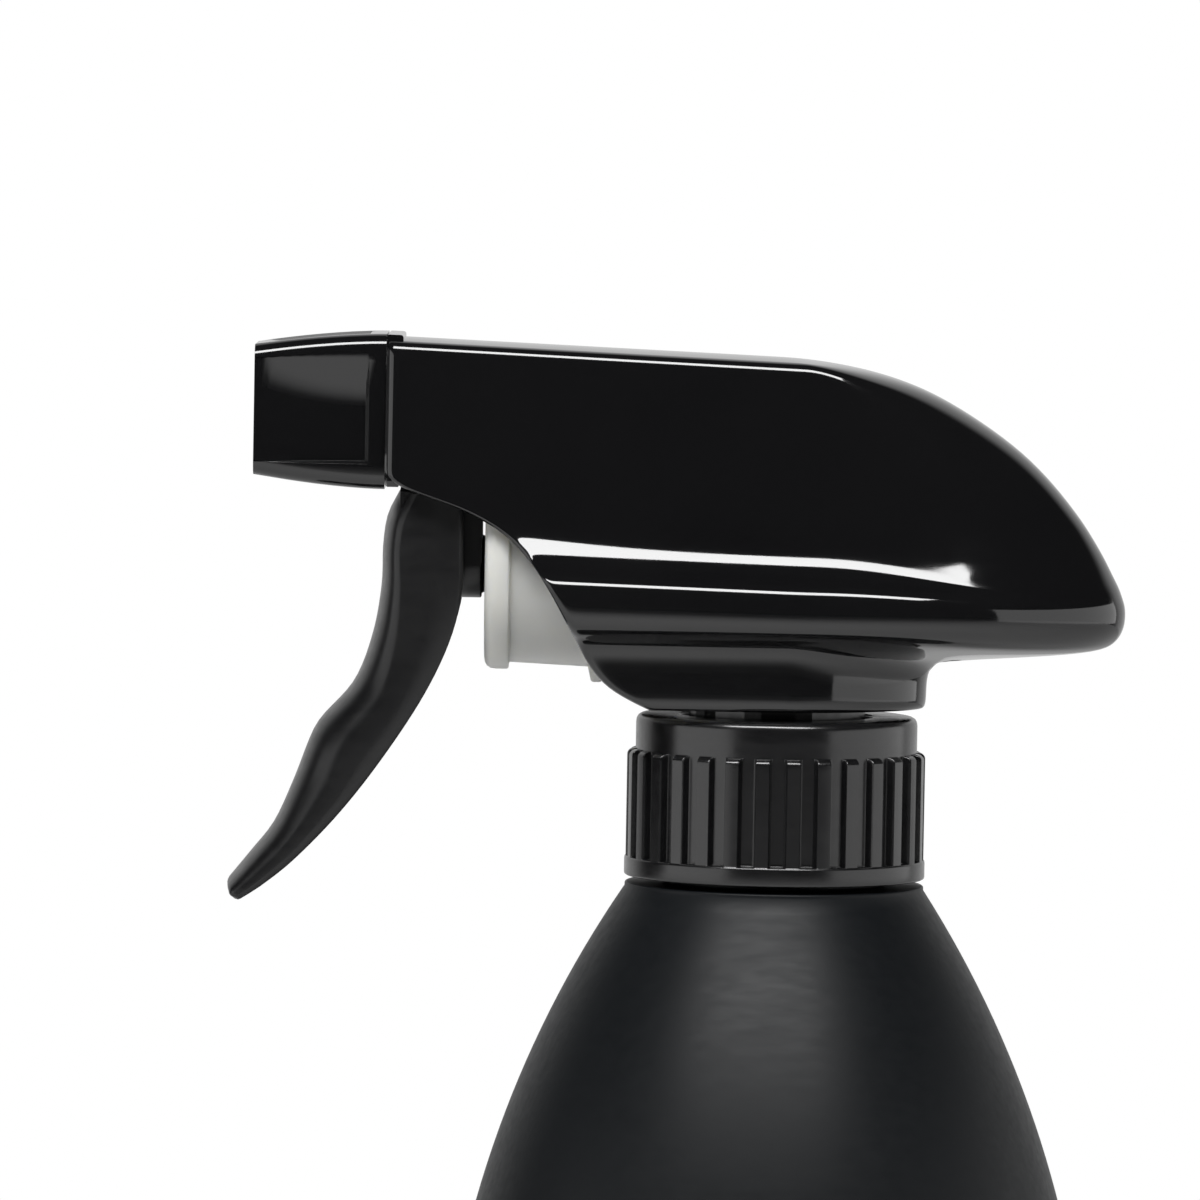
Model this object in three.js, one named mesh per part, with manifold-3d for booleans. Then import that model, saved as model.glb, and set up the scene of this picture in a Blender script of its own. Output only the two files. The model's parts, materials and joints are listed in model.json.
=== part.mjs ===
// Hand mister: a trigger sprayer head screwed onto a bullet-shaped bottle.
//
// Millimetres, +Z up. The origin is the centre of the bottle's foot, on the bottle's axis, and Z = 0 is the
// plane it stands on. The nozzle points along -X. The spray head is drawn in a group of its own whose Z = 0
// is the lower rim of the closure cap, so head heights below are heights above that rim.

import * as THREE from 'three';
import { mergeVertices } from 'three/addons/utils/BufferGeometryUtils.js';
import Module from 'manifold-3d';

const wasm = await Module();
wasm.setup();

// ---------------------------------------------------------------- driving dimensions

// clearances
const seatGap = 0.3; // between faces that rest on each other
const fitGap = 0.3; // radial, between a piece and the bore that holds it
const runGap = 0.6; // radial, between pieces that slide past each other

// bottle
const capBase = 150; // height of the closure cap's lower rim above the foot
const bodyRadius = 37.4; // widest
const widestHeight = 81;
const footRadius = 30; // where the wall turns into the foot
const footRound = 3.5;
const bottleWall = 1.4;
const shoulderGap = 0.8; // between the shoulder and the closure cap
const neckRadius = 12.5;
const neckWall = 2.1;
const neckHeight = 13.4; // above the cap's lower rim
const threadPitch = 4.23;
const threadTurns = 1.5;
const threadDepth = 1.1;
const threadStart = 3; // height above the cap's lower rim

// closure cap
const capHeight = neckHeight + 5;
const capRadius = neckRadius + 3.5; // smooth wall between the ribs
const capRibDepth = 0.95;
const capRimRadius = capRadius + 1.1;
const shoulderRadius = capRadius + 1;
const capRimHeight = 2.2;
const capRibTop = capHeight - 4;
const capRibs = 30;
const capRoof = 1.8;
const capHole = neckRadius - 1.6;

// tube retainer and dip tube
const collarTop = capHeight + 5.1; // the snap collar that joins the retainer to the pump body
const upstandTop = capHeight + 2.6;
const flangeThickness = 1.3;
const gasketThickness = 1.2;
const tubeRadius = 2.9;
const tubeBore = 2;
const intakeBallRadius = 2.6;
const intakeSeatRadius = 1.8;

// pump body
const columnRadius = 4.8;
const columnBore = 2.2;
const cylinderBore = 7.8;
const cylinderWall = 1.6;
const cylinderHeight = collarTop + 2.1 + cylinderBore + cylinderWall; // its axis
const cylinderFront = -25.9;
const cylinderRear = -5.6;
const barrelRadius = 4.6;
const barrelFront = -56.2;
const barrelRear = 5;
const valveBore = barrelRadius - 1.6;
const dischargeBallRadius = valveBore - 0.8;
const passageBore = dischargeBallRadius - 0.5;

// piston
const pusherX = -34;
const pusherRadius = 3.6;
const pistonFront = -33.4;
const pistonStroke = 5.7;
const pistonSkirtRadius = cylinderBore + cylinderWall + 1.7;
const pistonFlangeRadius = pistonSkirtRadius + 0.8;
const pistonFlangeRear = -30.6;
const pistonSkirtRear = -21.3;
const barrelHeight = cylinderHeight + pistonFlangeRadius + barrelRadius + 0.85; // axis of barrel and nozzle

// trigger
const pivotX = -31.6;
const pivotHeight = barrelHeight - 2.15;
const trunnionRadius = 1.9;
const triggerHalfWidth = 9.5;
const triggerWall = 1.6;
const armInner = barrelRadius + 0.7;
const armThickness = 2;

// nozzle
const nozzleFront = -59.8;
const nozzleRear = -44.9;
const nozzleFrontSize = 2 * barrelRadius + 5.5;
const nozzleRearSize = 2 * barrelRadius + 8.35;
const nozzleBulge = 1.6; // 1 would be a straight taper

// shroud
const shroudFront = -44.7;
const shroudWall = 1.4;
const waistHalfWidth = pistonFlangeRadius + 2; // where the wing's flare begins
const waistHeight = cylinderHeight + 1.8;
const roofHalfWidth = waistHalfWidth - 3.1;
const wingHalfWidth = waistHalfWidth + 4.6;
const skirtRadius = capRadius - 1.4;
const skirtBottom = capHeight + 0.9;

// ---------------------------------------------------------------- helpers

const roundSides = 32;

/** A closed three.js geometry as a manifold solid. */
function solid(geometry) {
  const bare = geometry.clone();
  bare.deleteAttribute('normal');
  bare.deleteAttribute('uv');
  const merged = mergeVertices(bare, 1e-4);
  return new wasm.Manifold(new wasm.Mesh({
    numProp: 3,
    vertProperties: new Float32Array(merged.attributes.position.array),
    triVerts: new Uint32Array(merged.index.array),
  }));
}

/** A manifold solid as a three.js geometry. */
function geometryOf(manifold) {
  const mesh = manifold.getMesh();
  const geometry = new THREE.BufferGeometry();
  geometry.setAttribute('position', new THREE.BufferAttribute(new Float32Array(mesh.vertProperties), 3));
  geometry.setIndex(new THREE.BufferAttribute(new Uint32Array(mesh.triVerts), 1));
  geometry.computeVertexNormals();
  return geometry;
}

function union(...solids) {
  return solids.reduce((all, one) => all.add(one));
}

/** Turns [radius, height] pairs round the Z axis. The profile closes on itself. */
function turned(profile, sides = roundSides) {
  const points = profile.map(([radius, height]) => new THREE.Vector2(radius, height));
  const onAxis = profile[0][0] === 0 && profile[profile.length - 1][0] === 0;
  if (!onAxis) points.push(points[0].clone());
  const geometry = new THREE.LatheGeometry(points, sides);
  geometry.rotateX(Math.PI / 2);
  return solid(geometry);
}

/** Turns [radius, x] pairs round an axis along X at the given height. */
function turnedAlongX(profile, height, sides = roundSides) {
  return turned(profile, sides).rotate([0, 90, 0]).translate([0, 0, height]);
}

function cylinderZ(radius, bottom, top, sides = roundSides) {
  return turned([[0, bottom], [radius, bottom], [radius, top], [0, top]], sides);
}

function cylinderX(radius, from, to, height, sides = roundSides) {
  return turnedAlongX([[0, from], [radius, from], [radius, to], [0, to]], height, sides);
}

function cylinderY(radius, from, to, x, height, sides = 24) {
  return turned([[0, from], [radius, from], [radius, to], [0, to]], sides)
    .rotate([-90, 0, 0]).translate([x, 0, height]);
}

function tubeZ(inner, outer, bottom, top, sides = roundSides) {
  return turned([[inner, bottom], [outer, bottom], [outer, top], [inner, top]], sides);
}

function box([x0, y0, z0], [x1, y1, z1]) {
  const geometry = new THREE.BoxGeometry(x1 - x0, y1 - y0, z1 - z0);
  geometry.translate((x0 + x1) / 2, (y0 + y1) / 2, (z0 + z1) / 2);
  return solid(geometry);
}

/** A [x, z] outline extruded across Y to both sides of the middle plane, with rounded edges if edge > 0. */
function slab(points, halfWidth, edge = 0, edgeSteps = 3) {
  const shape = new THREE.Shape(points.map(([x, z]) => new THREE.Vector2(x, z)));
  const geometry = new THREE.ExtrudeGeometry(shape, {
    depth: 2 * (halfWidth - edge),
    bevelEnabled: edge > 0,
    bevelThickness: edge,
    bevelSize: edge,
    bevelOffset: -edge,
    bevelSegments: edgeSteps,
  });
  geometry.translate(0, 0, edge - halfWidth);
  geometry.rotateX(Math.PI / 2);
  return solid(geometry);
}

/** An [x, y] outline extruded upwards. */
function plate(points, bottom, top) {
  const shape = new THREE.Shape(points.map(([x, y]) => new THREE.Vector2(x, y)));
  const geometry = new THREE.ExtrudeGeometry(shape, { depth: top - bottom, bevelEnabled: false });
  geometry.translate(0, 0, bottom);
  return solid(geometry);
}

/** A [y, z] outline extruded along X. */
function beam(points, from, to) {
  const shape = new THREE.Shape(points.map(([y, z]) => new THREE.Vector2(y, z)));
  const geometry = new THREE.ExtrudeGeometry(shape, { depth: to - from, bevelEnabled: false });
  geometry.rotateX(Math.PI / 2);
  geometry.rotateZ(Math.PI / 2);
  geometry.translate(from, 0, 0);
  return solid(geometry);
}

/** Points of a smooth curve through a few [a, b] pairs, moved sideways (to its left) by offset. */
function smooth(pairs, count, offset = 0) {
  const curve = new THREE.SplineCurve(pairs.map(([a, b]) => new THREE.Vector2(a, b)));
  return Array.from({ length: count + 1 }, (_, i) => {
    const point = curve.getPoint(i / count);
    const tangent = curve.getTangent(i / count);
    return [point.x - offset * tangent.y, point.y + offset * tangent.x];
  });
}

// the barrel that the side outlines are drawn for
const drawnBarrelHeight = 52.35;
const drawnBarrelRadius = 4.6;

/** Side outline points moved up with the barrel: all of its rise at the barrel, none at the skirt's foot. */
function follow(points) {
  return points.map(([x, z]) => {
    const share = THREE.MathUtils.clamp((z - skirtBottom) / (drawnBarrelHeight - skirtBottom), 0, 1);
    return [x, z + share * (barrelHeight - drawnBarrelHeight)];
  });
}

/** Points of a circle's arc, angles in degrees. */
function arc(centreA, centreB, radius, from, to, count) {
  return Array.from({ length: count + 1 }, (_, i) => {
    const angle = THREE.MathUtils.degToRad(from + (to - from) * i / count);
    return [centreA + radius * Math.cos(angle), centreB + radius * Math.sin(angle)];
  });
}

/** A wire of the given radius along a curve. */
function wire(curve, radius, steps, sides = 6) {
  const section = new THREE.Shape(arc(0, 0, radius, 0, 360, sides).slice(0, sides)
    .map(([a, b]) => new THREE.Vector2(a, b)));
  return solid(new THREE.ExtrudeGeometry(section, { steps, extrudePath: curve, bevelEnabled: false }));
}

/** A coil spring round an axis along X. */
class CoilAlongX extends THREE.Curve {
  constructor(from, to, radius, turns, height) {
    super();
    Object.assign(this, { from, to, radius, turns, height });
  }

  getPoint(t, target = new THREE.Vector3()) {
    const angle = 2 * Math.PI * this.turns * t;
    return target.set(
      this.from + (this.to - this.from) * t,
      this.radius * Math.cos(angle),
      this.height + this.radius * Math.sin(angle),
    );
  }
}

/** A screw thread: a bar of trapezoid section wrapped round the Z axis, fading out at both ends. */
function threadRidge(rootRadius, crestRadius, rootWidth, crestWidth, turns, start, sides = 24) {
  const bite = 0.4 * Math.sign(crestRadius - rootRadius);
  const section = new THREE.Shape([
    new THREE.Vector2(-bite, -rootWidth / 2),
    new THREE.Vector2(0, -rootWidth / 2),
    new THREE.Vector2(crestRadius - rootRadius, -crestWidth / 2),
    new THREE.Vector2(crestRadius - rootRadius, crestWidth / 2),
    new THREE.Vector2(0, rootWidth / 2),
    new THREE.Vector2(-bite, rootWidth / 2),
  ]);
  const steps = Math.round(turns * sides);
  const fade = 0.12;
  const geometry = new THREE.ExtrudeGeometry(section, { depth: 1, steps, bevelEnabled: false });
  const position = geometry.attributes.position;
  for (let i = 0; i < position.count; i++) {
    const along = position.getZ(i);
    const depth = Math.min(1, along / fade, (1 - along) / fade);
    const rise = position.getX(i);
    const radius = rootRadius + (Math.sign(rise) === Math.sign(bite) ? rise * Math.max(depth, 0.05) : rise);
    const angle = 2 * Math.PI * turns * along;
    const height = start + threadPitch * turns * along + position.getY(i);
    position.setXYZ(i, radius * Math.cos(angle), radius * Math.sin(angle), height);
  }
  const ridge = solid(geometry);
  return ridge.volume() > 0 ? ridge : solid(flipped(geometry));
}

/** The same triangles with their corners in the other order. */
function flipped(geometry) {
  const turnedOver = geometry.index ? geometry.toNonIndexed() : geometry.clone();
  const array = turnedOver.attributes.position.array;
  for (let i = 0; i < array.length; i += 9) {
    const second = array.slice(i + 3, i + 6);
    array.copyWithin(i + 3, i + 6, i + 9);
    array.set(second, i + 6);
  }
  return turnedOver;
}

// ---------------------------------------------------------------- materials

const finish = {
  bottle: { color: 0x1c1f20, roughness: 0.55, metalness: 0 },
  gloss: { color: 0x0b0b0c, roughness: 0.12, metalness: 0 },
  satin: { color: 0x141415, roughness: 0.32, metalness: 0 },
  natural: { color: 0xcfcec4, roughness: 0.35, metalness: 0 },
  white: { color: 0xe6e6e2, roughness: 0.45, metalness: 0 },
  rubber: { color: 0x2b2c2d, roughness: 0.8, metalness: 0 },
  steel: { color: 0xb9bcbf, roughness: 0.25, metalness: 1 },
};

function part(name, shape, look) {
  const mesh = new THREE.Mesh(geometryOf(shape), new THREE.MeshStandardMaterial(finish[look]));
  mesh.name = name;
  return mesh;
}

// ---------------------------------------------------------------- bottle

/** Arc that stands upright at the bottle's widest section and ends at the given [radius, height]. */
function bellyArc([radius, height], inset, count) {
  const sideways = bodyRadius - radius;
  const along = height - widestHeight;
  const bend = (sideways ** 2 + along ** 2) / (2 * sideways);
  const sweep = THREE.MathUtils.radToDeg(Math.asin(along / bend));
  return arc(bodyRadius - bend, widestHeight, bend - inset, 0, sweep, count);
}

function bottle() {
  const shoulder = capBase - shoulderGap;
  const lip = 0.5; // bevel of the shoulder and of the neck's mouth
  const footPad = 0.4 * footRadius;
  const footRing = 0.8 * footRadius;
  const footRecess = 0.8;
  const recessSlope = 1.5;
  const foot = [
    [0, 0], [footPad, 0], [footPad + recessSlope, footRecess],
    [footRing - recessSlope, footRecess], [footRing, 0],
    ...arc(footRadius - footRound, footRound, footRound, -90, 0, 3),
  ];
  const outer = [
    ...bellyArc([footRadius, footRound], 0, 5).reverse(),
    ...bellyArc([shoulderRadius, shoulder - lip], 0, 8).slice(1),
    [shoulderRadius - lip, shoulder], [neckRadius, shoulder],
  ];
  const neckTop = capBase + neckHeight;
  const neck = [[neckRadius, neckTop - lip], [neckRadius - lip, neckTop], [neckRadius - neckWall, neckTop]];
  const inner = [
    [neckRadius - neckWall, shoulder - 3.4],
    ...bellyArc([shoulderRadius, shoulder], bottleWall, 6).reverse().slice(1),
    ...bellyArc([footRadius, footRound], bottleWall, 4).slice(1),
  ];
  const floor = footRecess + bottleWall;
  const innerFoot = [[footRadius - footRound - bottleWall, floor], [0, floor]];
  const body = turned([...foot, ...outer.slice(1), ...neck, ...inner, ...innerFoot], 48);
  const crest = neckRadius + threadDepth;
  const thread = threadRidge(neckRadius, crest, 2.2, 1, threadTurns, capBase + threadStart);
  return part('bottle', body.add(thread), 'bottle');
}

// ---------------------------------------------------------------- closure cap

function capRib() {
  const tip = capRadius + capRibDepth;
  const round = 0.7;
  const root = 0.5; // sunk into the wall and the rim
  const width = Math.PI * tip / capRibs;
  const outline = [
    [capRadius - root, capRimHeight - root],
    [tip, capRimHeight - root],
    ...arc(tip - round, capRibTop - round, round, 0, 90, 3),
    [capRadius - root, capRibTop],
  ];
  return slab(outline, width / 2);
}

function closureCap() {
  const bore = neckRadius + threadDepth + runGap;
  const edge = 0.8;
  const shell = turned([
    [bore, 0], [capRimRadius, 0], [capRimRadius, capRimHeight], [capRadius, capRimHeight],
    ...arc(capRadius - edge, capHeight - edge, edge, 0, 90, 3),
    [capHole, capHeight], [capHole, capHeight - capRoof], [bore, capHeight - capRoof],
  ], 60);
  const ribs = Array.from({ length: capRibs }, (_, i) => capRib().rotate([0, 0, 360 / capRibs * i]));
  const crest = neckRadius + 0.45;
  const thread = threadRidge(bore, crest, 1.9, 0.8, 1.2, threadStart + threadPitch / 2);
  return part('closure_cap', union(shell, ...ribs, thread), 'satin');
}

// ---------------------------------------------------------------- neck pieces and tube

const gasketBottom = neckHeight + seatGap / 2;
const flangeBottom = gasketBottom + gasketThickness + seatGap / 2;
const flangeTop = flangeBottom + flangeThickness;
const flangeRadius = neckRadius - 0.1;
const collarRadius = capHole - 0.9;
const collarWall = 1.2;
const sealThickness = 1;
const spigotBottom = 3;
const spigotRadius = 4.6;
const upstandRadius = 4.4;
const tubeBottom = 6 - capBase; // clear of the bottle's floor
const tubeTop = flangeBottom - 1.8;
const ballSeatHeight = flangeBottom + 0.5;
const chamberRadius = intakeBallRadius + runGap;
const sleeveBore = upstandRadius + fitGap + 0.1;
const sleeveRadius = sleeveBore + 1.4;
const sleeveBottom = flangeTop + sealThickness + seatGap * 1.5;
const seatCone = 1.4; // height of the cone that the intake ball sits in

function neckGasket() {
  const inner = (spigotRadius + flangeRadius) / 2 - 1;
  const ring = tubeZ(inner, flangeRadius, gasketBottom, gasketBottom + gasketThickness);
  return part('neck_gasket', ring, 'white');
}

function tubeRetainer() {
  const ventX = (upstandRadius + collarRadius - collarWall) / 2;
  const coneTop = ballSeatHeight + seatCone;
  const body = union(
    cylinderZ(flangeRadius, flangeBottom, flangeTop),
    tubeZ(collarRadius - collarWall, collarRadius, flangeBottom, collarTop),
    cylinderZ(upstandRadius, flangeBottom, upstandTop),
    cylinderZ(spigotRadius, spigotBottom, flangeBottom + 0.1),
  );
  const cuts = union(
    cylinderZ(chamberRadius, coneTop, upstandTop + 1),
    turned([[0, ballSeatHeight], [intakeSeatRadius, ballSeatHeight], [chamberRadius, coneTop + 0.01],
      [0, coneTop + 0.01]]),
    cylinderZ(intakeSeatRadius, spigotBottom - 1, ballSeatHeight + 0.1),
    cylinderZ(tubeRadius + fitGap, spigotBottom - 1, tubeTop + seatGap),
    cylinderZ(0.7, 0, flangeTop + 1, 12).translate([ventX, 0, 0]),
  );
  return part('tube_retainer', body.subtract(cuts), 'white');
}

function retainerSeal() {
  const bottom = flangeTop + seatGap / 2;
  const ring = tubeZ(upstandRadius + fitGap, sleeveRadius, bottom, bottom + sealThickness);
  return part('retainer_seal', ring, 'rubber');
}

function dipTube() {
  return part('dip_tube', tubeZ(tubeBore, tubeRadius, tubeBottom, tubeTop, 24), 'natural');
}

function inletFilter() {
  const inner = tubeRadius + fitGap;
  const outer = inner + 1;
  const chamber = inner - 0.7;
  const bottom = tubeBottom - 2.6;
  const ledge = tubeBottom - seatGap; // the tube's end rests above it
  const top = tubeBottom + 5;
  const floor = bottom + 0.8;
  const slotCount = 6;
  const slot = box([chamber - 0.1, -0.5, floor + 0.2], [outer + 1, 0.5, ledge - 0.1]);
  const slots = Array.from({ length: slotCount }, (_, i) => slot.rotate([0, 0, 360 / slotCount * i]));
  const cup = turned([
    [0, bottom], [outer, bottom], [outer, top], [inner, top], [inner, ledge],
    [chamber, ledge], [chamber, floor], [0, floor],
  ], 24);
  return part('inlet_filter', cup.subtract(union(...slots)), 'white');
}

// ---------------------------------------------------------------- pump body and valves

const ballStop = ballSeatHeight + 6.2;
const valveSeatX = -46;
const sealGroove = { x: -53.4, halfWidth: 0.8, floor: barrelRadius - 0.65 };
const plugLength = 5;
const plugRadius = passageBore + 0.6;

/** The column with the sleeve that plugs into the retainer and the skirt that snaps over its collar. */
function pumpColumn() {
  const skirtInner = collarRadius + fitGap;
  const skirtOuter = skirtInner + 1.2;
  const skirtFoot = skirtBottom + 0.3;
  const skirtRoof = collarTop + 1.9;
  const skirtTop = skirtRoof + 1.6;
  const columnTop = barrelHeight + barrelRadius;
  return turned([
    [0, sleeveBottom], [sleeveRadius, sleeveBottom], [sleeveRadius, skirtRoof],
    [skirtInner, skirtRoof], [skirtInner, skirtFoot], [skirtOuter, skirtFoot], [skirtOuter, skirtTop - 0.8],
    [skirtOuter - 0.8, skirtTop], [columnRadius + 1, skirtTop], [columnRadius, skirtTop + 1],
    [columnRadius, columnTop], [0, columnTop],
  ]);
}

function pumpBody() {
  const cylinderRadius = cylinderBore + cylinderWall;
  const axis = cylinderHeight;
  const trunnionEnd = armInner + armThickness + 0.6;
  const snapBead = { from: -49.6, to: -48.4, height: 0.5 };
  const stopFlange = { from: -42.6, to: -41, height: 1.6 };
  const webFront = pistonSkirtRear + pistonStroke + runGap;
  const webHalf = 0.8;
  const body = union(
    pumpColumn(),
    cylinderX(cylinderRadius, cylinderFront, cylinderRear + cylinderWall, axis),
    cylinderX(barrelRadius, barrelFront, barrelRear, barrelHeight),
    cylinderX(barrelRadius + snapBead.height, snapBead.from, snapBead.to, barrelHeight),
    cylinderX(barrelRadius + stopFlange.height, stopFlange.from, stopFlange.to, barrelHeight),
    cylinderY(trunnionRadius, -trunnionEnd, trunnionEnd, pivotX, pivotHeight),
    box([webFront, -webHalf, axis + cylinderRadius - 1], [0, webHalf, barrelHeight - barrelRadius + 1]),
  );
  const inletRadius = 1.5;
  const ventX = cylinderFront + 1.1;
  const ventRadius = 0.6;
  const slotReach = sleeveBore - 1.2;
  const slotHalf = 0.6;
  const slotBottom = ballStop - 0.5;
  const slotTop = ballStop + 1.8;
  const { x: grooveX, halfWidth, floor } = sealGroove;
  const cuts = union(
    cylinderX(cylinderBore, cylinderFront - 1, cylinderRear, axis),
    cylinderX(inletRadius, cylinderRear - 1, -1, axis, 16),
    cylinderZ(sleeveBore, sleeveBottom - 1, ballStop),
    cylinderZ(columnBore, ballStop - 1, barrelHeight, 24),
    box([-slotReach, -slotHalf, slotBottom], [slotReach, slotHalf, slotTop]),
    box([-slotHalf, -slotReach, slotBottom], [slotHalf, slotReach, slotTop]),
    cylinderX(passageBore, valveSeatX - 0.5, barrelRear - plugLength + 1, barrelHeight, 24),
    cylinderX(plugRadius + fitGap, barrelRear - plugLength, barrelRear + 1, barrelHeight, 24),
    cylinderX(valveBore, barrelFront - 1, valveSeatX, barrelHeight, 24),
    turnedAlongX([[floor, grooveX - halfWidth], [barrelRadius + 1, grooveX - halfWidth],
      [barrelRadius + 1, grooveX + halfWidth], [floor, grooveX + halfWidth]], barrelHeight),
    cylinderZ(ventRadius, axis - cylinderRadius - 1, axis - cylinderBore + 1, 12).translate([ventX, 0, 0]),
  );
  return part('pump_body', body.subtract(cuts), 'natural');
}

function passagePlug() {
  const plug = union(
    cylinderX(plugRadius, barrelRear - plugLength + 2 * seatGap, barrelRear + 2 * seatGap, barrelHeight, 24),
    cylinderX(barrelRadius - 0.8, barrelRear + seatGap, barrelRear + 1.4, barrelHeight, 24),
  );
  return part('passage_plug', plug, 'natural');
}

function ball(radius, x, height) {
  const geometry = new THREE.SphereGeometry(radius, 16, 10);
  geometry.rotateX(Math.PI / 2);
  geometry.translate(x, 0, height);
  return solid(geometry);
}

function intakeBall() {
  const rest = ballSeatHeight + Math.sqrt(intakeBallRadius ** 2 - intakeSeatRadius ** 2) + 2 * seatGap;
  return part('intake_ball', ball(intakeBallRadius, 0, rest), 'steel');
}

const dischargeBallX = valveSeatX - Math.sqrt(dischargeBallRadius ** 2 - passageBore ** 2) - seatGap;

function dischargeBall() {
  return part('discharge_ball', ball(dischargeBallRadius, dischargeBallX, barrelHeight), 'steel');
}

const spinnerRear = -53.2;
const spinnerHead = barrelFront - seatGap;

function dischargeSpring() {
  const wireRadius = 0.22;
  const endGap = 0.1;
  const front = spinnerRear + wireRadius + endGap;
  const rear = dischargeBallX - dischargeBallRadius - wireRadius - endGap;
  const curve = new CoilAlongX(front, rear, dischargeBallRadius - 0.5, 3.5, barrelHeight);
  return part('discharge_spring', wire(curve, wireRadius, 42), 'steel');
}

function spinner() {
  const headThickness = 0.7;
  const headRadius = barrelRadius - 0.4;
  const body = union(
    cylinderX(valveBore - fitGap, spinnerHead - 0.1, spinnerRear, barrelHeight, 24),
    cylinderX(headRadius, spinnerHead - headThickness, spinnerHead, barrelHeight, 24),
  );
  const channelCount = 3;
  const channel = box([spinnerHead - 1, 1, -0.4], [spinnerRear + 1, headRadius + 1, 0.4]);
  const channels = Array.from({ length: channelCount }, (_, i) => channel
    .rotate([360 / channelCount * i, 0, 0]).translate([0, 0, barrelHeight]));
  return part('spinner', body.subtract(union(...channels)), 'white');
}

const nozzleSocket = barrelRadius + 0.85; // bore of the nozzle cap

function nozzleSeal() {
  const cord = 0.42;
  const ringRadius = (sealGroove.floor + nozzleSocket) / 2;
  const geometry = new THREE.TorusGeometry(ringRadius, cord, 6, 24);
  geometry.rotateY(Math.PI / 2);
  geometry.translate(sealGroove.x, 0, barrelHeight);
  return part('nozzle_seal', solid(geometry), 'rubber');
}

// ---------------------------------------------------------------- piston

const crownRadius = cylinderBore - runGap;
const crown = { front: -24.8, rear: -15.8 };
const pressureGroove = { front: -20.8, rear: -17, floor: cylinderBore - 3 };
const ventGroove = { front: -24.2, rear: -22.8, floor: cylinderBore - 3 };

function grooveProfile({ front, rear, floor }) {
  return [[crownRadius, front], [floor, front], [floor, rear], [crownRadius, rear]];
}

function piston() {
  const socket = pusherRadius + runGap;
  const socketWall = socket + 1;
  const stem = 3.2;
  const wall = 1;
  const round = 0.6;
  const rear = pistonSkirtRear;
  const rearRadius = pistonSkirtRadius + 0.4; // the skirt widens towards its rear edge
  const face = pistonFront + 1.1; // inside of the front wall
  const body = turnedAlongX([
    [0, pistonFront], [pistonFlangeRadius - round, pistonFront], [pistonFlangeRadius, pistonFront + round],
    [pistonFlangeRadius, pistonFlangeRear], [pistonSkirtRadius, pistonFlangeRear], [rearRadius, rear],
    [rearRadius - wall, rear], [pistonSkirtRadius - wall, face],
    [socketWall, face], [socketWall, pistonFront + 4], [stem, pistonFront + 4.6],
    [stem, crown.front], [crownRadius, crown.front],
    ...grooveProfile(ventGroove), ...grooveProfile(pressureGroove),
    [crownRadius, crown.rear], [0, crown.rear],
  ], cylinderHeight);
  const skirtFoot = cylinderHeight - rearRadius;
  const tabHalf = 2.5;
  const tab = box([rear - 0.3, -tabHalf, skirtFoot - 1.6], [rear + 1.3, tabHalf, skirtFoot + 0.8]);
  const pocket = cylinderX(socket, pistonFront - 1, pusherX + pusherRadius + seatGap, cylinderHeight);
  return part('piston', body.add(tab).subtract(pocket), 'natural');
}

/** A lip seal in a groove of the piston, wider at its working edge. */
function lipSeal(name, groove, leadingEdge) {
  const inner = groove.floor + fitGap;
  const outer = cylinderBore - fitGap;
  const front = groove.front + seatGap;
  const rear = groove.rear - seatGap;
  const slack = outer - 0.4;
  const [frontRadius, rearRadius] = leadingEdge === 'rear' ? [slack, outer] : [outer, slack];
  const profile = [[inner, front], [frontRadius, front], [rearRadius, rear], [inner, rear]];
  return part(name, turnedAlongX(profile, cylinderHeight), 'rubber');
}

function returnSpring() {
  const wireRadius = 0.4;
  const endGap = seatGap / 2;
  const front = crown.rear + wireRadius + endGap;
  const rear = cylinderRear - wireRadius - endGap;
  const curve = new CoilAlongX(front, rear, cylinderBore - 2.2, 3.5, cylinderHeight);
  return part('return_spring', wire(curve, wireRadius, 49), 'steel');
}

// ---------------------------------------------------------------- trigger

const triggerFrontLine = follow([
  [-43.2, 43.4], [-45.1, 38], [-45.3, 31.9], [-47.6, 22.9], [-53.2, 15], [-56.5, 6.2], [-62.6, -1.9],
]);
const triggerRearLine = follow([[-61.2, -3.4], [-53.2, 2.7], [-46.9, 10], [-40.8, 19.2], [-36.3, 29.2]]);

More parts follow.
